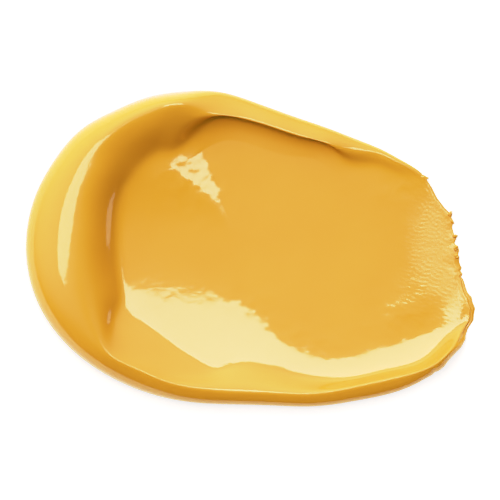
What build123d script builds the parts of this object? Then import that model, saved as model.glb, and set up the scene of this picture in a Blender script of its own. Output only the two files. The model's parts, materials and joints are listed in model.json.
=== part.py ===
"""A smear of heavy-bodied acrylic paint, spread flat by one stroke of a palette knife.

The knife landed at -X, pressed a shallow bed into the load of paint and was drawn towards +X.
The paint that it pushed aside stands round the bed: a thick heel bank where the knife landed,
an upper fold that toppled inwards over the bed, and a rounded bead along the lower side that
turns up as a lip at the tail. Where the knife lifted, the edge is torn: a thin film stays on the
ground beyond the lip, and crumbs stand along the tear.

Millimetres, +Z up, origin on the ground at the middle of the smear's box, the stroke along +X.
"""

import os
from math import hypot, sqrt

from build123d import *

os.makedirs("parts", exist_ok=True)

# Driving dimensions
CREST = 5.0  # height of the heel bank at its highest
BED = 0.9  # thickness of the bed at the bottom of its dish
DISH_RADIUS = 600.0  # radius of the shallow dish that the knife left in the bed
DISH_CENTRE = (4.0, -1.0)  # the lowest point of the dish
BED_BLANK = 2.4  # thickness of the bed before it is dished
FILM = 0.45  # thickness of the film left beyond the tear
OVERHANG = 0.9  # how far the upper fold leans over the bed
FOLD_GAP = 0.35  # air between the fold's lip and the bed
CRUMB = 0.9  # height of the largest crumb
CRUMB_TAPER = 25  # lean of a crumb's sides, in degrees
CRUMB_SIDES = 5
MID_RIDGE = 0.7  # how far under a ridge the bed's blank reaches, from its edge to its foot

# The ridges' stations, each: outer edge, inner foot, and crest height as a share of CREST.
HEEL_BANK = [
    ((0.4, 19.6), (-3.0, 17.2), 0.58),
    ((-4.0, 20.9), (-6.8, 17.0), 0.62),
    ((-11.0, 20.8), (-11.6, 16.2), 0.72),
    ((-18.3, 18.3), (-15.4, 14.2), 0.84),
    ((-24.4, 14.1), (-18.2, 10.8), 0.94),
    ((-28.4, 7.8), (-19.8, 6.4), 1.00),
    ((-30.0, 0.6), (-20.3, 1.2), 1.00),
    ((-29.0, -5.4), (-19.6, -4.0), 0.96),
    ((-25.8, -11.3), (-17.6, -8.6), 0.88),
    ((-20.6, -15.9), (-14.6, -12.2), 0.78),
    ((-14.6, -19.0), (-11.0, -14.9), 0.68),
]
LOWER_BEAD = [
    HEEL_BANK[-1],
    ((-8.4, -20.4), (-6.6, -16.6), 0.58),
    ((-2.0, -20.8), (-1.0, -17.4), 0.52),
    ((5.0, -21.0), (5.2, -17.8), 0.50),
    ((11.8, -20.6), (10.9, -17.5), 0.49),
    ((18.6, -19.2), (17.0, -16.4), 0.47),
    ((24.0, -16.8), (21.8, -14.4), 0.44),
]
TAIL_LIP = [
    LOWER_BEAD[-1],
    ((27.4, -13.6), (25.0, -12.0), 0.42),
    ((28.8, -10.0), (26.4, -9.4), 0.40),
    ((28.4, -6.4), (26.4, -6.0), 0.37),
    ((27.6, -3.0), (26.2, -2.8), 0.32),
]
# The upper fold's stations: outer edge, root of the lip, and height of the lip as a share of CREST.
UPPER_FOLD = [
    ((0.4, 19.6), (-3.0, 17.2), 0.56),
    ((3.4, 18.5), (2.2, 15.9), 0.60),
    ((7.0, 17.2), (6.4, 14.7), 0.58),
    ((10.6, 15.9), (10.3, 13.6), 0.50),
    ((14.0, 14.6), (13.9, 12.8), 0.42),
    ((16.8, 13.5), (16.8, 12.4), 0.35),
]
# The bed's free edge, from the end of the fold round to the torn tail.
FREE_EDGE = [(16.8, 13.3), (20.3, 11.7), (23.4, 9.5), (24.9, 6.9), (26.5, 4.7), (26.9, 2.9)]
TORN_EDGE = [(26.9, 2.9), (27.3, 1.5), (27.1, 0.4), (27.5, -0.6), (27.2, -1.6), (27.3, -2.6)]
# The film's outer edge, ragged by the tear.
FILM_EDGE = [
    (27.4, -1.4),
    (28.2, -2.4),
    (28.0, -3.0),
    (28.4, -3.8),
    (28.9, -5.6),
    (29.5, -6.6),
    (29.6, -7.2),
    (30.0, -8.0),
    (29.8, -9.6),
    (28.9, -11.0),
    (28.2, -12.2),
]
FILM_INSIDE = [(26.8, -11.4), (27.6, -8.4), (27.0, -4.4), (26.6, -1.6)]
# Each crumb's centre, its radius, and its turn about Z in degrees.
CRUMBS = [
    (23.5, 9.45, 0.40, 30),
    (26.6, 4.75, 0.42, 20),
    (26.9, 3.60, 0.36, 75),
    (27.3, 1.70, 0.44, 40),
    (27.4, 0.10, 0.55, 10),
    (27.5, -1.00, 0.48, 55),
]


def bed_height(x, y):
    """The height of the bed's dished top at a point of the ground."""
    out_of_centre = hypot(x - DISH_CENTRE[0], y - DISH_CENTRE[1])
    return BED + DISH_RADIUS - sqrt(DISH_RADIUS**2 - out_of_centre**2)


def section_plane(edge, inner):
    """The upright plane across a ridge: its X runs from the outer edge inwards, its Y up."""
    across = Vector(*inner, 0) - Vector(*edge, 0)
    return Plane(origin=(*edge, 0), x_dir=across, z_dir=across.cross(Vector(0, 0, 1)))


def span(edge, inner):
    """The width of a ridge at a station."""
    return (Vector(*inner) - Vector(*edge)).length


def between(edge, inner, share):
    """The point that lies a share of the way from the outer edge to the inner foot."""
    return tuple(e + share * (i - e) for e, i in zip(edge, inner))


def ridge_section(edge, foot, crest_share):
    """A heaped section: steep outside, round on top, falling to the bed with a soft foot."""
    width, crest, foot_height = span(edge, foot), crest_share * CREST, bed_height(*foot)
    drop = crest - foot_height
    heap = [
        (0, 0),
        (0.05 * width, 0.50 * crest),
        (0.19 * width, 0.87 * crest),
        (0.38 * width, crest),
        (0.58 * width, foot_height + 0.80 * drop),
        (0.78 * width, foot_height + 0.33 * drop),
        (width, foot_height),
    ]
    with BuildSketch(section_plane(edge, foot)) as section:
        with BuildLine():
            Spline(*heap)
            Polyline(heap[-1], (width, 0), heap[0])
        make_face()
    return section.sketch


def fold_section(edge, root, lip_share):
    """A section that has toppled: it rises to a lip that leans out over the bed."""
    width, lip, under = span(edge, root), lip_share * CREST, bed_height(*root) + FOLD_GAP
    tip = (width + OVERHANG, lip - 0.25 * (lip - under))
    with BuildSketch(section_plane(edge, root)) as section:
        with BuildLine():
            Spline(
                (0, 0),
                (0.06 * width, 0.42 * lip),
                (0.35 * width, 0.80 * lip),
                (0.80 * width, lip),
                tip,
            )
            Spline(tip, (width + 0.45 * OVERHANG, under + FOLD_GAP), (width, under))
            Polyline((width, under), (width, 0), (0, 0))
        make_face()
    return section.sketch


# Heel bank: the thick crescent where the knife landed
with BuildPart() as heel_bank:
    for station in HEEL_BANK:
        add(ridge_section(*station))
    loft()
heel_bank.part.label = "heel_bank"

# Lower bead: the rounded ridge squeezed out along the lower side of the stroke
with BuildPart() as lower_bead:
    for station in LOWER_BEAD:
        add(ridge_section(*station))
    loft()
lower_bead.part.label = "lower_bead"

# Tail lip: the bead's end, turned up towards the tear
with BuildPart() as tail_lip:
    for station in TAIL_LIP:
        add(ridge_section(*station))
    loft()
tail_lip.part.label = "tail_lip"

# Upper fold: the ridge along the upper side, toppled inwards over the bed
with BuildPart() as upper_fold:
    for station in UPPER_FOLD:
        add(fold_section(*station))
    loft()
    add(heel_bank.part, mode=Mode.SUBTRACT)
upper_fold.part.label = "upper_fold"

# Spread bed: the film that the knife pressed, dished, and bounded by the ridges round it
under_ridges = [
    between(edge, foot, MID_RIDGE)
    for edge, foot, *_ in HEEL_BANK[1:] + LOWER_BEAD[1:] + TAIL_LIP[1:]
]
under_fold = [between(edge, root, MID_RIDGE) for edge, root, _ in reversed(UPPER_FOLD[1:])]
with BuildPart() as spread_bed:
    with BuildSketch():
        with BuildLine():
            Spline(*under_ridges)
            Polyline(under_ridges[-1], *reversed(TORN_EDGE))
            Spline(*reversed(FREE_EDGE))
            Polyline(FREE_EDGE[0], under_fold[0])
            Spline(*under_fold, under_ridges[0])
        make_face()
    extrude(amount=BED_BLANK)
    with Locations((*DISH_CENTRE, BED + DISH_RADIUS)):
        Sphere(DISH_RADIUS, mode=Mode.SUBTRACT)
    for neighbour in (heel_bank, lower_bead, tail_lip, upper_fold):
        add(neighbour.part, mode=Mode.SUBTRACT)
spread_bed.part.label = "spread_bed"

# Tail film: the thin layer that stayed on the ground where the knife lifted
with BuildPart() as tail_film:
    with BuildSketch():
        with BuildLine():
            Polyline(*FILM_EDGE)
            Polyline(FILM_EDGE[-1], *FILM_INSIDE, FILM_EDGE[0])
        make_face()
    extrude(amount=FILM)
    for neighbour in (tail_lip, spread_bed):
        add(neighbour.part, mode=Mode.SUBTRACT)
tail_film.part.label = "tail_film"

# Torn crumbs: small teeth of paint that stand loose along the tear
largest = max(radius for _, _, radius, _ in CRUMBS)
with BuildPart() as torn_crumbs:
    for x, y, radius, turn in CRUMBS:
        with BuildSketch():
            with Locations((x, y)):
                RegularPolygon(radius, CRUMB_SIDES, rotation=turn)
        extrude(amount=CRUMB * radius / largest, taper=CRUMB_TAPER)
    for neighbour in (spread_bed, tail_lip, tail_film):
        add(neighbour.part, mode=Mode.SUBTRACT)
torn_crumbs.part.label = "torn_crumbs"

PIECES = (heel_bank, lower_bead, tail_lip, upper_fold, spread_bed, tail_film, torn_crumbs)
for piece in PIECES:
    export_step(piece.part, f"parts/{piece.part.label}.step")
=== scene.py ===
# %% [markdown]
# # A smear of yellow paint
# The object is one thick smear of glossy yellow paint, pulled to the right by a single stroke of a painting
# knife. The stroke leaves a tall rolled heel on the left, a bed pressed flat in the middle, a strip that
# toppled inwards along the upper side, a low bead along the lower side and a torn, thin tail on the right.
# The first step of any job is to load the measured frame, so that every new piece can be placed against it.

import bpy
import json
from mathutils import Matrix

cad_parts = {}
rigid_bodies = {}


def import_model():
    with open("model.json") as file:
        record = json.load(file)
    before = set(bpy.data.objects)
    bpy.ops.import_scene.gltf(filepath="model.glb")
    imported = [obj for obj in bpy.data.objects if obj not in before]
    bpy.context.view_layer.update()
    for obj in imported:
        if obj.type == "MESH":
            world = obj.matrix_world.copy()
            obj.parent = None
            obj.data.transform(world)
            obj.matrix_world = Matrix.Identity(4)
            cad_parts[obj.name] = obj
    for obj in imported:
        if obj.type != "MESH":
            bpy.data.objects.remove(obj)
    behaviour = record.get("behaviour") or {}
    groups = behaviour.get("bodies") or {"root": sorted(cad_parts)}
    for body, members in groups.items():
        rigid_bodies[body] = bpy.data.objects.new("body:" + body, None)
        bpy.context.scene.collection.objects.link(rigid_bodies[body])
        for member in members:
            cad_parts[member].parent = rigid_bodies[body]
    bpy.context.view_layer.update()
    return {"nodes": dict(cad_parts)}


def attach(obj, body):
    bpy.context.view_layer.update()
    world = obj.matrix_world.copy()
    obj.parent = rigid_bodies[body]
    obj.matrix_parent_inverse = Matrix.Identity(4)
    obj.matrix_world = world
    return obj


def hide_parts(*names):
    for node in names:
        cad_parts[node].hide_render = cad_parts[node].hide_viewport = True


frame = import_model()
print("nodes in the frame:", sorted(frame["nodes"]))

# %% [markdown]
# Three plain libraries help. numpy does sums on many points at once, math does them on single numbers, and
# json writes the sizes at the end. Loading leaves the frame's nodes selected, and an operator works on all
# that is selected. So the scene is deselected before anything is made.

# %% Tools
import json
import math

import bpy
import numpy as np

MM = 0.001  # one millimetre in metres
scene = bpy.context.scene
bpy.ops.object.select_all(action="DESELECT")
print("selected now:", len(bpy.context.selected_objects))

# %% [markdown]
# ## How to model something that has no edges
# Paint has no corners to bevel and no parts to join. A cube or a sphere pushed about by hand would keep the
# rhythm of its grid, and gloss shows every flaw of a grid. A lofted surface suits it better. Sections are
# drawn across the rim at a few stations, curves are run round the smear through the matching points of all
# sections, and the mesh is read off those curves. It is the same idea as a loft in a drawing program or a
# hull in a boat yard.
#
# Each section is a row of handles. The first number says how far in the handle lies: 0 at the outer edge, 1
# at the crest and 2 at the foot, where the rim runs out on the bed. The second says how high, as a share of
# the crest. From the handle INWARD on, that share is counted from the bed up instead of from the ground up.
# The heel is fat and round, with a steep inner face. At the upper left its inner side runs down in a longer
# slope, the eave. In the nook, at the lower left, it drops sooner behind the crest.

# %% Sections of the heel
INWARD = 6
HEEL = [(0, 0), (-0.02, 0.17), (0.03, 0.42), (0.20, 0.68), (0.48, 0.89), (0.82, 0.99), (1.15, 1.01),
        (1.45, 0.84), (1.70, 0.52), (1.88, 0.22), (2.03, 0.0), (2.30, 0.0), (2.70, 0.0)]
EAVE = [(0, 0), (-0.04, 0.20), (0.04, 0.48), (0.28, 0.76), (0.62, 0.94), (1.00, 1.02), (1.25, 0.92),
        (1.48, 0.74), (1.68, 0.50), (1.86, 0.24), (2.03, 0.02), (2.25, 0.0), (2.55, 0.0)]
NOOK = [(0, 0), (-0.02, 0.18), (0.03, 0.42), (0.20, 0.69), (0.50, 0.90), (0.88, 1.01), (1.12, 1.00),
        (1.27, 0.84), (1.40, 0.54), (1.52, 0.30), (1.76, 0.13), (2.02, 0.01), (2.35, 0.0)]
print("handles in a section:", len(HEEL), len(EAVE), len(NOOK))

# %% [markdown]
# The fold is the strip that toppled inwards. Two of its handles lie at the same distance in, one above the
# other, and the next one lies further back. That makes a lip that overhangs, with a dark gap below it. The
# hem is where the fold runs out.

# %% Sections of the fold
FOLD = [(0, 0), (-0.05, 0.25), (-0.01, 0.52), (0.10, 0.68), (0.34, 0.82), (0.64, 0.94), (0.94, 1.01),
        (1.04, 0.99), (1.03, 0.66), (0.99, 0.30), (1.12, 0.13), (1.55, 0.04), (2.20, 0.0)]
HEM = [(0, 0), (-0.05, 0.25), (0.02, 0.55), (0.20, 0.78), (0.50, 0.92), (0.85, 1.00), (1.15, 0.96),
       (1.35, 0.72), (1.50, 0.42), (1.70, 0.12), (2.00, 0.0), (2.40, 0.0), (2.80, 0.0)]
print("the fold's lip hangs back by", round(1.04 - 0.99, 2), "of its depth")

# %% [markdown]
# The lower side ends in a bead with a sharp crest. A sharp crest gives a hair-thin line of light, and a
# broad one gives a wide band. The ramp inside it is long and even.

# %% Sections of the bead
CORNER = [(0, 0), (-0.02, 0.18), (0.03, 0.42), (0.20, 0.70), (0.55, 0.91), (0.93, 1.03), (1.05, 1.02),
          (1.12, 0.88), (1.30, 0.62), (1.62, 0.33), (1.92, 0.09), (2.12, 0.0), (2.40, 0.0)]
BEAD = [(0, 0), (-0.03, 0.22), (0.01, 0.50), (0.16, 0.74), (0.48, 0.91), (0.86, 1.03), (1.06, 1.04),
        (1.22, 0.87), (1.42, 0.58), (1.66, 0.30), (1.92, 0.08), (2.12, 0.0), (2.60, 0.0)]
print("the bead drops by", round(1.04 - 0.87, 2), "of its height just inside the crest")

# %% [markdown]
# At the tail the knife lifted off and the film tore. At the lower corner the bed ends in a lip: a crest
# level with the bed, a step down outside it, and a thin apron of film at the foot of the step.

# %% Sections of the tail
TEAR = [(0, 0), (0.02, 0.30), (0.06, 0.62), (0.18, 0.88), (0.50, 0.97), (1.00, 1.00), (1.25, 0), (1.50, 0),
        (1.75, 0), (2.00, 0), (2.30, 0), (2.70, 0), (3.20, 0)]
LIP = [(0, 0), (0, 0.10), (0.06, 0.20), (0.22, 0.24), (0.38, 0.20), (0.52, 0.24), (0.62, 0.62), (0.85, 0.98),
       (1.15, 1.02), (1.45, 0.72), (1.75, 0.32), (2.03, 0.05), (2.40, 0.0)]
print("the apron of film is", LIP[5][1], "of the lip's height")

# %% [markdown]
# The stations go round the smear, counter-clockwise from the right end of the bead. Each one gives the
# outer edge, the crest and the foot in millimetres, seen from above, then the crest's height and the
# section. They lie closer together where the outline bends. Where the height is None, the crest is level
# with the bed, as along the tear and the lip.

# %% Stations round the smear
STATIONS = [
    ((19.6, -18.95), (19.0, -17.1), (18.5, -16.2), 2.50, BEAD),
    ((24.0, -16.85), (23.3, -15.9), (22.7, -15.0), 2.40, BEAD),
    ((27.6, -13.6), (26.9, -13.0), (25.9, -12.1), 2.15, BEAD),
    ((29.4, -10.4), (28.5, -10.2), (27.6, -9.9), None, LIP),
    ((29.9, -7.9), (28.8, -7.8), (27.9, -7.6), None, LIP),
    ((28.9, -5.4), (28.1, -5.35), (27.4, -5.25), None, LIP),
    ((28.2, -3.2), (27.6, -3.2), (27.0, -3.2), None, LIP),
    ((27.9, -1.3), (27.2, -1.4), (26.2, -1.5), None, TEAR),
    ((27.6, 0.4), (27.0, 0.4), (26.0, 0.3), None, TEAR),
    ((27.0, 3.6), (26.4, 3.4), (25.4, 3.1), None, TEAR),
    ((24.9, 6.8), (24.4, 6.5), (23.5, 5.9), None, TEAR),
    ((23.4, 9.5), (22.9, 9.1), (22.1, 8.5), None, TEAR),
    ((20.3, 11.75), (20.05, 11.35), (19.0, 9.7), 1.10, HEM),
    ((17.3, 13.35), (17.0, 12.75), (15.9, 10.6), 1.42, HEM),
    ((14.4, 14.5), (13.8, 13.1), (13.0, 11.0), 1.80, HEM),
    ((11.0, 15.8), (10.3, 13.95), (9.4, 12.0), 2.45, FOLD),
    ((7.1, 17.15), (6.3, 15.05), (5.4, 12.8), 2.75, FOLD),
    ((3.4, 18.45), (2.7, 16.25), (1.8, 13.8), 2.95, FOLD),
    ((-0.2, 19.75), (-0.8, 17.25), (-1.5, 14.8), 3.00, FOLD),
    ((-4.2, 20.85), (-4.5, 17.7), (-5.0, 14.4), 3.60, FOLD),
    ((-8.7, 21.0), (-8.8, 19.2), (-9.2, 13.9), 4.68, EAVE),
    ((-13.4, 20.3), (-12.6, 18.6), (-11.8, 13.2), 4.96, EAVE),
    ((-18.2, 18.4), (-16.6, 16.7), (-14.0, 12.0), 4.93, EAVE),
    ((-22.4, 16.0), (-19.6, 14.2), (-15.4, 10.5), 4.93, EAVE),
    ((-26.0, 12.0), (-21.6, 10.9), (-16.7, 8.7), 4.95, HEEL),
    ((-28.6, 7.2), (-22.9, 6.9), (-17.6, 6.1), 4.97, HEEL),
    ((-29.8, 2.0), (-23.5, 2.3), (-17.9, 2.5), 5.00, HEEL),
    ((-29.6, -2.9), (-23.6, -2.5), (-17.7, -2.4), 4.97, HEEL),
    ((-28.2, -7.4), (-22.9, -6.8), (-17.2, -6.4), 4.85, HEEL),
    ((-25.5, -11.6), (-21.2, -10.7), (-14.9, -9.2), 4.60, NOOK),
    ((-21.9, -15.0), (-18.9, -13.9), (-12.4, -11.6), 4.25, CORNER),
    ((-17.6, -17.6), (-15.2, -15.9), (-10.0, -13.4), 3.92, CORNER),
    ((-13.0, -19.4), (-11.4, -17.5), (-7.2, -15.2), 3.60, CORNER),
    ((-8.0, -20.4), (-7.2, -18.4), (-4.5, -16.2), 3.28, BEAD),
    ((-2.8, -20.7), (-2.5, -18.8), (-1.2, -15.6), 3.02, BEAD),
    ((2.7, -20.85), (2.6, -19.0), (3.2, -16.4), 2.85, BEAD),
    ((8.7, -20.95), (8.6, -19.1), (8.6, -17.4), 2.70, BEAD),
    ((14.4, -20.15), (14.0, -18.2), (13.7, -17.3), 2.60, BEAD),
]
BORDERS = {"lip": 2, "tear": 7, "fold": 12, "heel": 19, "bead": 33}  # the station where each stretch starts
print(len(STATIONS), "stations")

# %% [markdown]
# ## The pressed bed
# The bed is almost flat: its mirror finish makes a bend of half a degree visible, so its height is a
# formula and not a sculpt. soft_ramp is the basic brush of that formula. It is 0 on one side of a line and
# rises on the other, with the corner rounded off over a width.

# %% A rounded ramp
def soft_ramp(distance, width):
    """0 for a negative distance, the distance itself for a positive one, rounded over the width."""
    return 0.5 * (distance + np.sqrt(distance * distance + width * width))


print("ramp at -5, 0 and 5 mm:", [round(float(soft_ramp(d, 1.0)), 2) for d in (-5, 0, 5)])

# %% [markdown]
# The blade pressed the middle to about 0.9 mm and left the left half a very shallow dish. To the right the
# film thins out towards the tear. Heights are in millimetres, like the stations.

# %% Dish and thinning film
BED = 0.9
DISH_RADIUS = 600.0
DISH_CENTRE = (4.0, -1.0)
THINNING = 0.0006  # how fast the right half falls, per mm
TAIL_START, TAIL_FALL = 17.5, 0.0034  # where the film starts to fall to the tear, and how fast, per mm


def dish(x, y):
    left, up = np.minimum(x - DISH_CENTRE[0], 0), y - DISH_CENTRE[1]
    z = BED + (left ** 2 + up ** 2) / (2 * DISH_RADIUS)
    z = z - THINNING * np.maximum(x - DISH_CENTRE[0], 0) ** 2
    return z - TAIL_FALL * soft_ramp(x - TAIL_START, 1.0) ** 2


print("bed at the middle and near the tear:", [round(float(dish(np.float64(x), 0.0)), 2) for x in (0, 26)])

# %% [markdown]
# Along the lower side the bed sweeps up to the bead. Each row says where that sweep starts for a place
# along the stroke, and how fast it turns. The slope of the sweep decides where a light shows in it, so this
# table draws the border of the long bright band. Averaging a few neighbours rounds the corners of the
# table.

# %% Sweep up to the bead
SWEEP = [(-30, 1.5, 0.0046), (-14, 0.8, 0.0046), (-8, -1.2, 0.0054), (-3, -3.6, 0.0080), (1, -8.2, 0.018),
         (5, -12.6, 0.036), (9, -14.6, 0.052), (14, -14.2, 0.044), (18, -12.3, 0.030), (21.5, -10.6, 0.024),
         (25, -7.4, 0.020), (28, -4.0, 0.016)]  # x, start y, turn per mm
NEIGHBOURS = np.linspace(-2.5, 2.5, 11)  # mm to the left and the right
SWEEP_ROUNDING = 1.5


def sweep(x, y):
    along_x, start_y, turn_rate = np.array(SWEEP).T
    start = np.mean([np.interp(x + step, along_x, start_y) for step in NEIGHBOURS], axis=0)
    turn = np.mean([np.interp(x + step, along_x, turn_rate) for step in NEIGHBOURS], axis=0)
    return turn * soft_ramp(start - y, SWEEP_ROUNDING) ** 2 / 2


print("sweep just inside the bead:", round(float(sweep(np.float64(5.0), -16.0)), 2), "mm")

# %% [markdown]
# A knife chatters. At the upper left it left one small facet, a flat that leans towards the upper right and
# ends in a sharp crease. It catches the light as a fin-shaped patch. The last helper adds the three shapes
# up.

# %% Facet and whole bed
FACET_SLOPE = 0.13
FACET_WIDTH = 5.2
CREASE_POINT = (-3.3, 5.2)
ACROSS_CREASE = (0.93, 0.36)
FIN_TIP, FIN_SPREAD = 4.6, 0.85  # the y of the fin's lower tip, and how fast it widens above it
FACET_DROP = 0.3


def facet(x, y):
    across = ACROSS_CREASE[0] * (CREASE_POINT[0] - x) - ACROSS_CREASE[1] * (y - CREASE_POINT[1])
    width = FIN_SPREAD * soft_ramp(y - FIN_TIP, 2.5)
    width = FACET_WIDTH - soft_ramp(FACET_WIDTH - width, 0.8)
    return FACET_SLOPE * (soft_ramp(across, 0.45) - soft_ramp(across - width, 0.7) - FACET_DROP)


def bed_height(x, y):
    x, y = np.asarray(x, dtype=float), np.asarray(y, dtype=float)
    return dish(x, y) + sweep(x, y) + facet(x, y)


print("bed at the facet:", round(float(bed_height(-6, 9)), 2), "mm")

# %% [markdown]
# ## Curves round the smear
# control_points turns a station's section into handles in millimetres. The share is carried along as a
# number of its own, because the bed below a handle is only known once the curves round the smear have been
# drawn.

# %% Handles of a station
def control_points(station):
    """Rows of x, y, share of height and crest height, from the edge to the foot."""
    edge, crest, foot, top, section = station
    top = float(bed_height(*crest)) if top is None else top
    edge, crest, foot = np.array(edge), np.array(crest), np.array(foot)
    rows = []
    for share_in, share_up in section:
        outside = share_in <= 1
        x, y = edge + (crest - edge) * share_in if outside else crest + (foot - crest) * (share_in - 1)
        rows.append((x, y, share_up, top))
    return rows


net = np.array([control_points(station) for station in STATIONS])
print("the net of handles:", net.shape[0], "stations by", net.shape[1], "handles")

# %% [markdown]
# A closed cubic spline passes through every station without a kink, even where it meets its own start. That
# is what through does: it solves for the bend at each knot, and reads the curve at any place. The knots are
# spaced by the distance from station to station, so that close stations don't make the curve swing.

# %% A closed smooth curve
def through(knots, values, at):
    """A periodic cubic spline through the values at the knots, read at the given places."""
    count = len(values)
    step = np.diff(knots)
    system = np.zeros((count, count))
    right = np.zeros(values.shape)
    for i in range(count):
        before, after = step[i - 1], step[i]
        system[i, i - 1] += before
        system[i, i] += 2 * (before + after)
        system[i, (i + 1) % count] += after
        right[i] = 6 * ((values[(i + 1) % count] - values[i]) / after - (values[i] - values[i - 1]) / before)
    bend = np.linalg.solve(system, right.reshape(count, -1)).reshape(values.shape)
    place = np.clip(np.searchsorted(knots, at, side="right") - 1, 0, count - 1)
    following = (place + 1) % count
    shape = (-1,) + (1,) * (values.ndim - 1)
    width = step[place].reshape(shape)
    a = (knots[place + 1] - at).reshape(shape) / width
    b = 1 - a
    return (a * values[place] + b * values[following]
            + ((a ** 3 - a) * bend[place] + (b ** 3 - b) * bend[following]) * width ** 2 / 6)


edges = net[:, 0, :2]
gaps = np.hypot(*(np.roll(edges, -1, axis=0) - edges).T)
knots = np.concatenate([[0], np.cumsum(gaps)])
outline_length = knots[-1]
print("the outline is", round(float(outline_length), 1), "mm long")

# %% [markdown]
# The curves are read at 1024 spokes, which is one point every 0.16 mm of the outline: fine enough for the
# ripples of the tear. Now the shares of height become heights, above the ground on the outside and above
# the bed on the inside.

# %% Spokes
SPOKES = 1024
spoke_places = np.arange(SPOKES) / SPOKES * outline_length
handles = through(knots, net, spoke_places)
share, top = handles[:, :, 2], handles[:, :, 3]
below = bed_height(handles[:, :, 0], handles[:, :, 1])
height = share * top
height[:, INWARD:] = (below + share * (top - below))[:, INWARD:]
handles = np.concatenate([handles[:, :, :2], height[:, :, None]], axis=2)
print("handles on all spokes:", handles.shape)

# %% [markdown]
# Along each spoke the handles pull on a B-spline, which is smoother than a curve through them: it never
# overshoots, and its slope and bend both run on evenly. Gloss needs that.

# %% Rings of the rim
RIM_RINGS = 64


def b_spline(points, count):
    """A clamped cubic B-spline along axis 1, read at count + 1 even places."""
    points = np.concatenate([points[:, :1], points[:, :1], points, points[:, -1:]], axis=1)
    spans = points.shape[1] - 3
    u = np.linspace(0, spans, count + 1)
    k = np.minimum(u.astype(int), spans - 1)
    t = (u - k).reshape(1, -1, 1)
    p0, p1, p2, p3 = (points[:, k + i] for i in range(4))
    return ((1 - t) ** 3 * p0 + (3 * t ** 3 - 6 * t ** 2 + 4) * p1
            + (-3 * t ** 3 + 3 * t ** 2 + 3 * t + 1) * p2 + t ** 3 * p3) / 6


rim = b_spline(handles, RIM_RINGS)
print("rim of", rim.shape[0], "by", rim.shape[1], "points")
print("highest point", round(float(rim[:, :, 2].max()), 2), "mm")

# %% [markdown]
# ## The torn edge
# Where the film pulled apart, its edge is a row of small teeth. They are drawn as a line of their own. Each
# point of the smooth edge is moved on to that line, and the points inside it follow less and less, so the
# mesh doesn't fold.

# %% Teeth of the torn edge
TORN = [(22.7, -17.6), (24.1, -16.85), (24.6, -16.4), (25.0, -16.3), (25.8, -15.7), (26.3, -15.0),
        (27.3, -13.9), (28.1, -13.1), (28.7, -12.0), (28.7, -11.5), (29.0, -10.6), (29.75, -9.5),
        (29.8, -8.7), (29.97, -7.9), (29.6, -7.0), (29.5, -6.4), (29.3, -6.2), (28.9, -5.7), (28.4, -4.1),
        (28.1, -3.7), (28.3, -3.3), (28.0, -2.9), (28.2, -2.5), (28.0, -2.2), (27.82, -1.6), (27.88, -1.2),
        (27.72, -0.7), (27.85, -0.2), (27.7, 0.33), (27.2, 0.75), (27.5, 1.5), (27.1, 2.1), (26.9, 2.9),
        (27.1, 3.7), (26.8, 4.2), (26.95, 4.8), (26.5, 4.9), (25.9, 5.5), (24.9, 6.8), (24.2, 8.2),
        (23.5, 9.3), (23.45, 9.75), (22.9, 9.95)]
TORN_REACH = 0.9  # mm over which the move fades out


def distance_along(points):
    return np.concatenate([[0], np.cumsum(np.hypot(*np.diff(points, axis=0).T))])


def nearest_spoke(point):
    return int(np.argmin(np.hypot(*(rim[:, 0, :2] - point).T)))


torn = np.array(TORN)
stretch = np.arange(nearest_spoke(torn[0]), nearest_spoke(torn[-1]) + 1)
smooth_edge = rim[stretch, 0, :2].copy()
torn_way, smooth_way = distance_along(torn), distance_along(smooth_edge)
places = smooth_way / smooth_way[-1] * torn_way[-1]
on_torn = np.stack([np.interp(places, torn_way, torn[:, k]) for k in range(2)], axis=1)
move = on_torn - smooth_edge
depth = np.hypot(*(rim[stretch, :, :2] - smooth_edge[:, None]).transpose(2, 0, 1))
rim[stretch, :, :2] += move[:, None] * np.exp(-(depth / TORN_REACH) ** 2)[:, :, None]
print("teeth moved", len(stretch), "spokes by up to", round(float(np.hypot(*move.T).max()), 2), "mm")

# %% [markdown]
# ## Rings of the bed
# The rim ends a little way in from its foot, level with the bed. From there, rings shrink towards a hub in
# the middle of the bed. Each time the ring is half as wide, every second point is dropped, so the faces
# stay about square and the middle isn't crowded.

# %% Rings of the bed
HUB = (0.0, -1.0)
RING_GAP = 0.17  # mm between the outer rings
RING_GROWTH = 0.8
LONGEST_STEP = 0.3  # of what is left to the hub
HUB_REACH = 1.5  # mm
FEWEST = 32
inner = rim[:, -1]
reach = np.hypot(inner[:, 0] - HUB[0], inner[:, 1] - HUB[1]).mean()
rings, picks = [], np.arange(SPOKES)
t, halve_at = 1.0, 0.5
while t * reach > HUB_REACH:
    t -= min(RING_GAP * (SPOKES / len(picks)) ** RING_GROWTH / reach, t * LONGEST_STEP)
    if t < halve_at and len(picks) > FEWEST:
        picks = picks[::2]
        halve_at /= 2
    x = HUB[0] + (inner[picks, 0] - HUB[0]) * t
    y = HUB[1] + (inner[picks, 1] - HUB[1]) * t
    rings.append(np.stack([x, y, bed_height(x, y)], axis=1))
print(len(rings), "rings, from", len(rings[0]), "down to", len(rings[-1]), "points")

# %% [markdown]
# All rings and the hub go into one list, the master surface. It will be cut into pieces later. One surface
# for all of them means that neighbouring pieces share their border points exactly.

# %% Master surface
ring_list = [rim[:, k] for k in range(RIM_RINGS + 1)] + rings
sizes = [len(ring) for ring in ring_list]
starts = np.concatenate([[0], np.cumsum(sizes)])
hub_index = int(starts[-1])
master = np.vstack(ring_list + [np.array([[HUB[0], HUB[1], bed_height(*HUB)]])])
print("master surface:", len(master), "points")

# %% [markdown]
# ## Small relief
# The bed isn't perfect: the knife left faint unevenness that frays the borders of the reflections. A sum of
# sines with many lengths and headings gives an irregular field that is the same on each run. The odd
# numbers in its phase only keep the waves out of step. The field is strongest in a few spots, where the
# stroke broke up.

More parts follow.
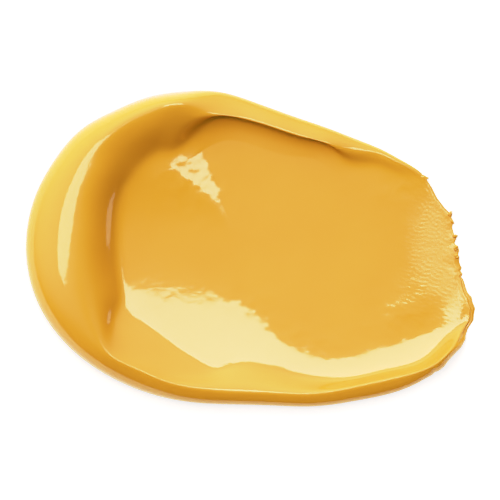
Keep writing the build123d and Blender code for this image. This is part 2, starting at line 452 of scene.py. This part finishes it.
# %% Uneven spots
WAVES = [(0.9 * 1.13 ** k, 2.39996 * k) for k in range(14)]  # wavelength in mm and heading
SPOTS = [((0.5, -7.5), (3.5, 3.5), 1.0), ((8, -12.0), (7, 2.5), 0.9), ((20.5, -9.0), (4.5, 2.6), 2.0),
         ((-8, 8.5), (4.0, 3.5), 2.6), ((19, 8.0), (3.0, 2.2), 2.0)]  # centre, reach, strength
RUFFLE = 0.0055  # mm


def ruffle(x, y):
    total = 0
    for k, (length, heading) in enumerate(WAVES):
        phase = 2 * np.pi / length * (x * np.cos(heading) + y * np.sin(heading)) + 1.7 * k * k
        total = total + length * np.sin(phase + 0.8 * np.sin(phase * 0.37 + k))
    return total / sum(length for length, _ in WAVES) * 3


def roughness_at(x, y):
    total = 0.25
    for (cx, cy), (rx, ry), strength in SPOTS:
        total = total + strength * np.exp(-((x - cx) / rx) ** 2 - ((y - cy) / ry) ** 2)
    return total


print("ruffle at the hub:", round(float(RUFFLE * ruffle(*HUB)), 4), "mm")

# %% [markdown]
# Near the tear the film stretched before it parted, and its skin is covered with fine grain about half a
# millimetre long. The grain is a second sum of sines, with headings spread over about 110 degrees. The film
# also leans back a little there, so that the key shows in much of the grain. A mask keeps both to the last
# few millimetres. This is shape and not a bump in the material, so it is part of the mesh itself. The
# rim's outer rings stay smooth.

# %% Grain of the tear
GRAIN = 0.0018  # mm
LEAN = 0.018  # slope
GRAIN_WAVES = 8
GRAIN_LENGTH, GRAIN_STRETCH = 0.42, 1.07  # mm of the shortest wave, and how much longer each next one is
GRAIN_TURN = 0.28  # radians between two headings
TEAR_Y = 1.0
MASK_START, MASK_BOW, MASK_FADE = 21.2, 0.02, 0.9
MASK_Y, MASK_HALF = -0.5, 9.5


def tear_mask(x, y):
    to_the_right = 1 / (1 + np.exp(-(x - MASK_START + MASK_BOW * (y - TEAR_Y) ** 2) / MASK_FADE))
    return to_the_right * np.exp(-((y - MASK_Y) / MASK_HALF) ** 6)


def grain(x, y):
    total = 0
    for k in range(GRAIN_WAVES):
        turn = GRAIN_TURN * (k - (GRAIN_WAVES - 1) / 2)
        way = x * np.sin(turn) + y * np.cos(turn)
        wander = 2.1 * k * k + 0.9 * np.sin(1.3 * x + k)
        total = total + np.sin(2 * np.pi / (GRAIN_LENGTH * GRAIN_STRETCH ** k) * way + wander)
    return total / 2


def relief(x, y):
    tear = tear_mask(x, y)
    return tear * (GRAIN * grain(x, y) - LEAN * (y - TEAR_Y)) + RUFFLE * roughness_at(x, y) * ruffle(x, y)


FIRST_RELIEF_RING = 20
inside = starts[FIRST_RELIEF_RING]
master[inside:, 2] += relief(master[inside:, 0], master[inside:, 1])
print("relief on", len(master) - inside, "points")

# %% [markdown]
# ## Faces and smooth normals
# Between two rings of the same count the faces are quads. Where the count halves, three triangles close
# each step. The hub is a fan. Each face remembers its ring and its spoke, which is all that the cutting
# needs.

# %% Faces of the master surface
faces, face_ring, face_spoke = [], [], []


def add_face(corners, ring, spoke):
    faces.append(corners)
    face_ring.append(ring)
    face_spoke.append(spoke)


for ring in range(len(sizes) - 1):
    a, b, outer, fewer = starts[ring], starts[ring + 1], sizes[ring], sizes[ring + 1]
    for i in range(fewer):
        j = (i + 1) % fewer
        if outer == fewer:
            add_face((a + i, a + j, b + j, b + i), ring, i * SPOKES // fewer)
        else:
            p, q, s = a + 2 * i, a + 2 * i + 1, a + (2 * i + 2) % outer
            for triangle in ((p, q, b + i), (q, b + j, b + i), (q, s, b + j)):
                add_face(triangle, ring, i * SPOKES // fewer)
for i in range(sizes[-1]):
    add_face((starts[-2] + i, starts[-2] + (i + 1) % sizes[-1], hub_index), len(sizes) - 1, 0)
face_ring, face_spoke = np.array(face_ring), np.array(face_spoke)
print(len(faces), "faces")

# %% [markdown]
# If each piece worked out its own normals, the light would break at every border. So the normals are worked
# out once, on the whole surface, as the sum of the face normals round each point. The pieces borrow them.

# %% Normals of the master surface
quads = np.array([f if len(f) == 4 else f + (f[2],) for f in faces])
face_normal = np.cross(master[quads[:, 2]] - master[quads[:, 0]], master[quads[:, 3]] - master[quads[:, 1]])
normals = np.zeros_like(master)
for k in range(4):
    np.add.at(normals, quads[:, k], face_normal)
normals /= np.linalg.norm(normals, axis=1, keepdims=True) + 1e-12
print("normal at the hub:", normals[hub_index].round(3))

# %% [markdown]
# ## Cutting the pieces
# A piece is a patch of the master surface with a skirt straight down from its border and a flat bottom, so
# it is a closed body that could be picked up. border_of walks round the patch: an edge belongs to the
# border when no neighbouring face uses it the other way round.

# %% Border of a patch
def border_of(patch):
    """The patch's border as a loop of point numbers."""
    sides = {(face[k], face[(k + 1) % len(face)]) for face in patch for k in range(len(face))}
    following = {a: b for a, b in sides if (b, a) not in sides}
    loop = [min(following)]
    while following[loop[-1]] != loop[0]:
        loop.append(following[loop[-1]])
    return loop


print("border of the whole surface:", len(border_of(faces)), "points")

# %% [markdown]
# closed_body adds the skirt and the bottom. Border points that already lie on the ground serve both as top
# and as bottom, so no face has zero height.

# %% A closed body
ON_GROUND = 1e-6  # mm, below which a point lies on the ground


def closed_body(patch):
    """Points in mm and faces of a closed body under the patch, and the points of the master it uses."""
    used = sorted({v for face in patch for v in face})
    number = {v: i for i, v in enumerate(used)}
    top_faces = [tuple(number[v] for v in face) for face in patch]
    points = [tuple(master[v]) for v in used]
    loop = border_of(top_faces)
    foot = {}
    for v in loop:
        x, y, z = points[v]
        if z < ON_GROUND:
            foot[v] = v
        else:
            foot[v] = len(points)
            points.append((x, y, 0.0))
    skirt = []
    for v, w in zip(loop, loop[1:] + loop[:1]):
        corners = tuple(dict.fromkeys((w, v, foot[v], foot[w])))
        if len(corners) > 2:
            skirt.append(corners)
    bottom = tuple(foot[v] for v in reversed(loop))
    return points, top_faces, skirt + [bottom], used


print("the whole surface as one closed body:", len(closed_body(faces)[0]), "points")


# %% A piece of paint
def piece_of_paint(name, mask, node):
    patch = [faces[i] for i in np.nonzero(mask)[0]]
    points, top_faces, other_faces, used = closed_body(patch)
    mesh = bpy.data.meshes.new(name)
    mesh.from_pydata([tuple(c * MM for c in p) for p in points], [], top_faces + other_faces)
    mesh.shade_smooth()
    corner_point = np.zeros(len(mesh.loops), dtype=int)
    mesh.loops.foreach_get("vertex_index", corner_point)
    top_corners = sum(len(face) for face in top_faces)
    custom = np.zeros((len(mesh.loops), 3))
    custom[:top_corners] = normals[np.array(used)[corner_point[:top_corners]]]
    for polygon in mesh.polygons[len(top_faces):]:
        polygon.use_smooth = False
        custom[polygon.loop_start:polygon.loop_start + polygon.loop_total] = polygon.normal
    mesh.normals_split_custom_set([tuple(c) for c in custom])
    piece = bpy.data.objects.new(name, mesh)
    scene.collection.objects.link(piece)
    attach(piece, "root")
    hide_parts(node)
    print(name, "for", node, "with", len(mesh.polygons), "faces")
    return piece


# %% [markdown]
# The rim comes off along its last ring, so the heel, the fold and the bead each take their foot along. The
# stations named in BORDERS part them from one another and from the tail. The tail is parted once more: its
# outer side, with the thin apron, is the film, and the inner side is the lip.

# %% Heel, fold and bead
def spoke_of(name):
    return int(round(knots[BORDERS[name]] / outline_length * SPOKES))


on_rim = face_ring < RIM_RINGS
heel_faces = on_rim & (face_spoke >= spoke_of("heel")) & (face_spoke < spoke_of("bead"))
fold_faces = on_rim & (face_spoke >= spoke_of("fold")) & (face_spoke < spoke_of("heel"))
bead_faces = on_rim & ((face_spoke >= spoke_of("bead")) | (face_spoke < spoke_of("lip")))
heel = piece_of_paint("heel", heel_faces, "heel_bank")
fold = piece_of_paint("fold", fold_faces, "upper_fold")
bead = piece_of_paint("bead", bead_faces, "lower_bead")

# %% Tail and bed
FILM_RINGS = 28
tail_faces = on_rim & (face_spoke >= spoke_of("lip")) & (face_spoke < spoke_of("tear"))
film_faces = tail_faces & (face_ring < FILM_RINGS)
film = piece_of_paint("film", film_faces, "tail_film")
lip = piece_of_paint("lip", tail_faces & ~film_faces, "tail_lip")
bed = piece_of_paint("bed", ~(heel_faces | fold_faces | bead_faces | tail_faces), "spread_bed")

# %% [markdown]
# ## Crumbs on the tear
# Where the film parted, small crumbs of paint stand up on its edge. They are made as by hand: an icosphere
# is added at its place and turned, its points are pushed in and out by a wave that differs from crumb to
# crumb, and it is squashed. The six are joined into one object, since the frame keeps them in one node. The
# turn and the scale are applied, so that the object ends up at the origin, unturned and unscaled.

# %% Crumbs
CRUMBS = [(23.5, 9.45, 0.24), (26.6, 4.75, 0.28), (26.9, 3.6, 0.22), (27.25, 1.7, 0.27), (27.4, 0.1, 0.33),
          (27.5, -1.0, 0.28)]  # x, y and radius in mm
CRUMB_HEIGHT = 0.30  # mm from the ground to the middle
CRUMB_ROUGHNESS = 0.28
CRUMB_WAVES = (4.1, 5.3)  # radians per radius, along the crumb and across it
CRUMB_SCALE = (1.25, 0.65, 0.85)
bpy.ops.object.select_all(action="DESELECT")
crumb_parts = []
for i, (x, y, radius) in enumerate(CRUMBS):
    bpy.ops.mesh.primitive_ico_sphere_add(
        subdivisions=4, radius=radius * MM, location=(x * MM, y * MM, CRUMB_HEIGHT * MM),
        rotation=(0.3 * i, 0.2, 1.1 * i))
    crumb = bpy.context.object
    for vertex in crumb.data.vertices:
        along = math.sin(CRUMB_WAVES[0] * vertex.co.x / (radius * MM) + i)
        across = math.cos(CRUMB_WAVES[1] * vertex.co.y / (radius * MM) - i)
        vertex.co *= 1 + CRUMB_ROUGHNESS * (along * across)
    crumb.scale = CRUMB_SCALE
    crumb_parts.append(crumb)
for crumb in crumb_parts:
    crumb.select_set(True)
bpy.ops.object.join()
crumbs = bpy.context.object
crumbs.name = "crumbs"
bpy.ops.object.transform_apply(location=True, rotation=True, scale=True)
bpy.ops.object.shade_smooth()
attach(crumbs, "root")
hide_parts("torn_crumbs")
print("crumbs with", len(crumbs.data.polygons), "faces")

# %% [markdown]
# ## The paint
# Heavy acrylic paint is opaque and wet-looking. The colour comes from below a clear, even skin, so one
# Principled shader with a low roughness does it. An acrylic binder has an IOR of about 1.5. It is set to
# 1.6 here, for a shine that is a little stronger.

# %% Paint shader
BINDER_IOR = 1.6
paint = bpy.data.materials.new("yellow_paint")
paint.use_nodes = True
paint_tree = paint.node_tree
paint_shader = paint_tree.nodes["Principled BSDF"]
paint_shader.inputs["IOR"].default_value = BINDER_IOR
object_place = paint_tree.nodes.new("ShaderNodeTexCoord").outputs["Object"]
print("paint uses", paint_shader.name)

# %% [markdown]
# No paint has one flat colour. Pigment isn't mixed perfectly, so a broad noise shifts the yellow a little
# between a deeper and a lighter tone. A second noise does the same to the gloss, because the skin dries in
# patches. Noise reads Object coordinates, so the pattern stays put on the paint.

# %% Pigment and gloss
DEEP_YELLOW, LIGHT_YELLOW = (0.81, 0.408, 0.057, 1), (0.85, 0.447, 0.067, 1)
GLOSS_FROM_TO = (0.045, 0.08)
PIGMENT_NOISE, GLOSS_NOISE = (110, 4), (260, 3)  # scale and detail


def noise(scale, detail):
    node = paint_tree.nodes.new("ShaderNodeTexNoise")
    node.inputs["Scale"].default_value = scale
    node.inputs["Detail"].default_value = detail
    paint_tree.links.new(object_place, node.inputs["Vector"])
    return node.outputs["Fac"]


pigment = paint_tree.nodes.new("ShaderNodeMix")
pigment.data_type = "RGBA"  # its colour sockets are inputs 6 and 7 and output 2
pigment.inputs[6].default_value = DEEP_YELLOW
pigment.inputs[7].default_value = LIGHT_YELLOW
paint_tree.links.new(noise(*PIGMENT_NOISE), pigment.inputs[0])
paint_tree.links.new(pigment.outputs[2], paint_shader.inputs["Base Color"])
gloss = paint_tree.nodes.new("ShaderNodeMapRange")
gloss.inputs["To Min"].default_value, gloss.inputs["To Max"].default_value = GLOSS_FROM_TO
paint_tree.links.new(noise(*GLOSS_NOISE), gloss.inputs["Value"])
print("pigment between", DEEP_YELLOW[:3], "and", LIGHT_YELLOW[:3])

# %% [markdown]
# Where the film tore, the skin isn't smooth any more: ripples finer than any mesh scatter the light. The
# shader takes that on as extra roughness, which fades out with the distance from a point just outside the
# torn edge.

# %% Dull tear
TEAR_MIDDLE = (31 * MM, 1 * MM, 0)
TEAR_FROM, TEAR_TO = 7 * MM, 11 * MM  # full within the first distance, gone beyond the second
TEAR_ROUGHNESS = 0.15
tear_distance = paint_tree.nodes.new("ShaderNodeVectorMath")
tear_distance.operation = "DISTANCE"
tear_distance.inputs[1].default_value = TEAR_MIDDLE
paint_tree.links.new(object_place, tear_distance.inputs[0])
dulling = paint_tree.nodes.new("ShaderNodeMapRange")
dulling.inputs["From Min"].default_value = TEAR_FROM
dulling.inputs["From Max"].default_value = TEAR_TO
dulling.inputs["To Min"].default_value = TEAR_ROUGHNESS
dulling.inputs["To Max"].default_value = 0
paint_tree.links.new(tear_distance.outputs["Value"], dulling.inputs["Value"])
roughness = paint_tree.nodes.new("ShaderNodeMath")
paint_tree.links.new(gloss.outputs["Result"], roughness.inputs[0])
paint_tree.links.new(dulling.outputs["Result"], roughness.inputs[1])
paint_tree.links.new(roughness.outputs["Value"], paint_shader.inputs["Roughness"])
print("up to", TEAR_ROUGHNESS, "more roughness near the tear")

# %% [markdown]
# A very fine bump stands for the grain of the pigment under the skin. It is far too small to model: its
# distance is 0.04 mm at most. All pieces share the one material, so the smear reads as one mass.

# %% Pigment grain
BUMP_DISTANCE = 0.04 * MM
BUMP_STRENGTH = 0.2
BUMP_NOISE = (900, 3)
pigment_grain = paint_tree.nodes.new("ShaderNodeBump")
pigment_grain.inputs["Strength"].default_value = BUMP_STRENGTH
pigment_grain.inputs["Distance"].default_value = BUMP_DISTANCE
paint_tree.links.new(noise(*BUMP_NOISE), pigment_grain.inputs["Height"])
paint_tree.links.new(pigment_grain.outputs["Normal"], paint_shader.inputs["Normal"])
for piece in (bed, fold, heel, bead, lip, film, crumbs):
    piece.data.materials.append(paint)
print("material on", paint.users, "pieces")

# %% [markdown]
# ## The ground
# The smear lies on plain white.

# %% Ground
GROUND_SIZE = 6  # metres
bpy.ops.object.select_all(action="DESELECT")
bpy.ops.mesh.primitive_plane_add(size=GROUND_SIZE, location=(0, 0, 0))
floor = bpy.context.object
floor.name = "floor"
white = bpy.data.materials.new("white_floor")
white.use_nodes = True
white_shader = white.node_tree.nodes["Principled BSDF"]
white_shader.inputs["Base Color"].default_value = (0.9, 0.9, 0.9, 1)
white_shader.inputs["Roughness"].default_value = 0.9
white_shader.inputs["Specular IOR Level"].default_value = 0.2
white_shader.inputs["Emission Color"].default_value = (1, 1, 1, 1)
white_shader.inputs["Emission Strength"].default_value = 0.6
floor.data.materials.append(white)
print("ground", GROUND_SIZE, "m wide")

# %% [markdown]
# ## The lights
# Gloss shows the lights as shapes, so they are planned like mirrors. Seen from straight above, a slope of
# 0.1 mirrors what stands about 0.2 to the side at a height of 1. The key is a flat panel one metre up. Its
# nearer side, 0.05 to the back, is what puts the border of the bright band where the sweep of the bed
# reaches a slope of 0.025. Energy is radiance times pi times area, so that a panel can be resized without a
# change of brightness.

# %% Key light
PANEL_HEIGHT = 1.0  # metres
KEY_CENTRE, KEY_SIZE, KEY_RADIANCE = (0.205, 0.195), (0.47, 0.286), 5.0
key_data = bpy.data.lights.new("key", "AREA")
key_data.shape = "RECTANGLE"
key_data.size, key_data.size_y = KEY_SIZE
key_data.energy = KEY_RADIANCE * math.pi * KEY_SIZE[0] * KEY_SIZE[1]
key = bpy.data.objects.new("key", key_data)
key.location = (*KEY_CENTRE, PANEL_HEIGHT)
scene.collection.objects.link(key)
print("key of", round(key_data.energy, 2), "W")

# %% [markdown]
# The long streak on the heel is the mirror image of a second panel, to the left. The streak tapers at both
# ends, so the panel has to be a polygon, which no lamp offers. A glowing mesh can have any outline.

# %% Side panel
SIDE_PANEL = [(-0.03, 0.045), (-0.42, -0.135), (-0.56, -0.09), (-0.50, 0.25), (-0.34, 0.30)]
SIDE_GLOW = 4.7
side_mesh = bpy.data.meshes.new("side_panel")
side_mesh.from_pydata([(x, y, PANEL_HEIGHT) for x, y in SIDE_PANEL], [], [tuple(range(len(SIDE_PANEL)))])
side_panel = bpy.data.objects.new("side_panel", side_mesh)
scene.collection.objects.link(side_panel)
glow = bpy.data.materials.new("panel_glow")
glow.use_nodes = True
glow_shader = glow.node_tree.nodes["Principled BSDF"]
glow_shader.inputs["Base Color"].default_value = (0, 0, 0, 1)
glow_shader.inputs["Emission Color"].default_value = (1, 1, 1, 1)
glow_shader.inputs["Emission Strength"].default_value = SIDE_GLOW
side_mesh.materials.append(glow)
print("side panel with", len(SIDE_PANEL), "corners")

# %% [markdown]
# ## The room
# Most of the light in a white studio comes off its walls. The world stands for them: it is dim all over,
# and bright round two directions. The wide one at the upper left makes the outer sides light and leaves the
# inner face of the heel in shade. The weaker one at the back lightens the fold and the ramp of the bead.
# Each is a dot product with a direction, eased from its start to 1.

# %% Soft walls
# For each wall: the direction towards it, the dot product where it starts, and its strength.
WALLS = [((-0.55, 0.58, 0.60), 0.38, 1.48), ((0.25, 0.70, 0.67), 0.62, 0.85)]
DIM = 0.04
world = bpy.data.worlds.new("studio")
world.use_nodes = True
scene.world = world
room = world.node_tree
looking = room.nodes.new("ShaderNodeTexCoord").outputs["Generated"]


def soft_wall(towards, start, strength):
    dot = room.nodes.new("ShaderNodeVectorMath")
    dot.operation = "DOT_PRODUCT"
    dot.inputs[1].default_value = towards
    ease = room.nodes.new("ShaderNodeMapRange")
    ease.interpolation_type = "SMOOTHSTEP"
    ease.inputs["From Min"].default_value = start
    ease.inputs["From Max"].default_value = 1.0
    ease.inputs["To Min"].default_value = DIM
    ease.inputs["To Max"].default_value = strength
    room.links.new(looking, dot.inputs[0])
    room.links.new(dot.outputs["Value"], ease.inputs["Value"])
    return ease.outputs["Result"]


both_walls = room.nodes.new("ShaderNodeMath")
both_walls.operation = "ADD"
for wall, socket in zip(WALLS, both_walls.inputs):
    room.links.new(soft_wall(*wall), socket)
print("walls:", len(WALLS))

# %% [markdown]
# In a low view the camera would see the dim part of the room above the ground's edge. A Light Path node
# tells the world which rays come straight from the camera, and those see plain white.

# %% White background
BACKGROUND = 1.4
from_camera = room.nodes.new("ShaderNodeLightPath").outputs["Is Camera Ray"]
backdrop = room.nodes.new("ShaderNodeMix")
backdrop.data_type = "FLOAT"  # its number sockets are inputs 2 and 3 and output 0
backdrop.inputs[3].default_value = BACKGROUND
room.links.new(from_camera, backdrop.inputs[0])
room.links.new(both_walls.outputs["Value"], backdrop.inputs[2])
room.links.new(backdrop.outputs[0], room.nodes["Background"].inputs["Strength"])
room.nodes["Background"].inputs["Color"].default_value = (1, 1, 1, 1)
print("background strength", BACKGROUND)

# %% [markdown]
# ## Camera
# The camera looks straight down. Its lens follows from what it has to see: the smear is 60 mm long and the
# view about 67 mm wide, from 0.6 m up. A long lens from far away keeps the outline free of perspective.

# %% Camera
CAMERA_HEIGHT = 0.6  # metres
VIEW_WIDTH = 0.2 / 3
SENSOR = 36  # mm
CAMERA_PLACE = (-MM / 15, -2 * MM / 15)  # a hair off the middle
camera_data = bpy.data.cameras.new("camera")
camera_data.sensor_width = SENSOR
camera_data.lens = SENSOR * CAMERA_HEIGHT / VIEW_WIDTH
camera = bpy.data.objects.new("camera", camera_data)
camera.location = (*CAMERA_PLACE, CAMERA_HEIGHT)
scene.collection.objects.link(camera)
scene.camera = camera
print("lens", round(camera_data.lens), "mm")

# %% [markdown]
# ## Tone curve
# The Standard view keeps the yellow pure, but it clips bright light hard. A tone curve makes up for that:
# it sinks the deepest tones, which makes the shaded yellow warmer, and rolls the brightest ones off softly.

# %% Tone curve
WHITE_LEVEL = 1.3
TONES = [(0.045, 0.016), (0.085, 0.058), (0.19, 0.139), (0.474, 0.494), (0.78, 0.80), (1.125, 0.91)]
scene.view_settings.view_transform = "Standard"
scene.view_settings.use_curve_mapping = True
curves = scene.view_settings.curve_mapping
curves.white_level = (WHITE_LEVEL, WHITE_LEVEL, WHITE_LEVEL)
combined = curves.curves[3]
combined.points[0].location = (0, 0)
combined.points[1].location = (1, 1)
for light_in, light_out in TONES:
    combined.points.new(light_in / WHITE_LEVEL, light_out)
for point in combined.points:
    point.handle_type = "AUTO"
curves.update()
print("tone curve with", len(combined.points), "points")
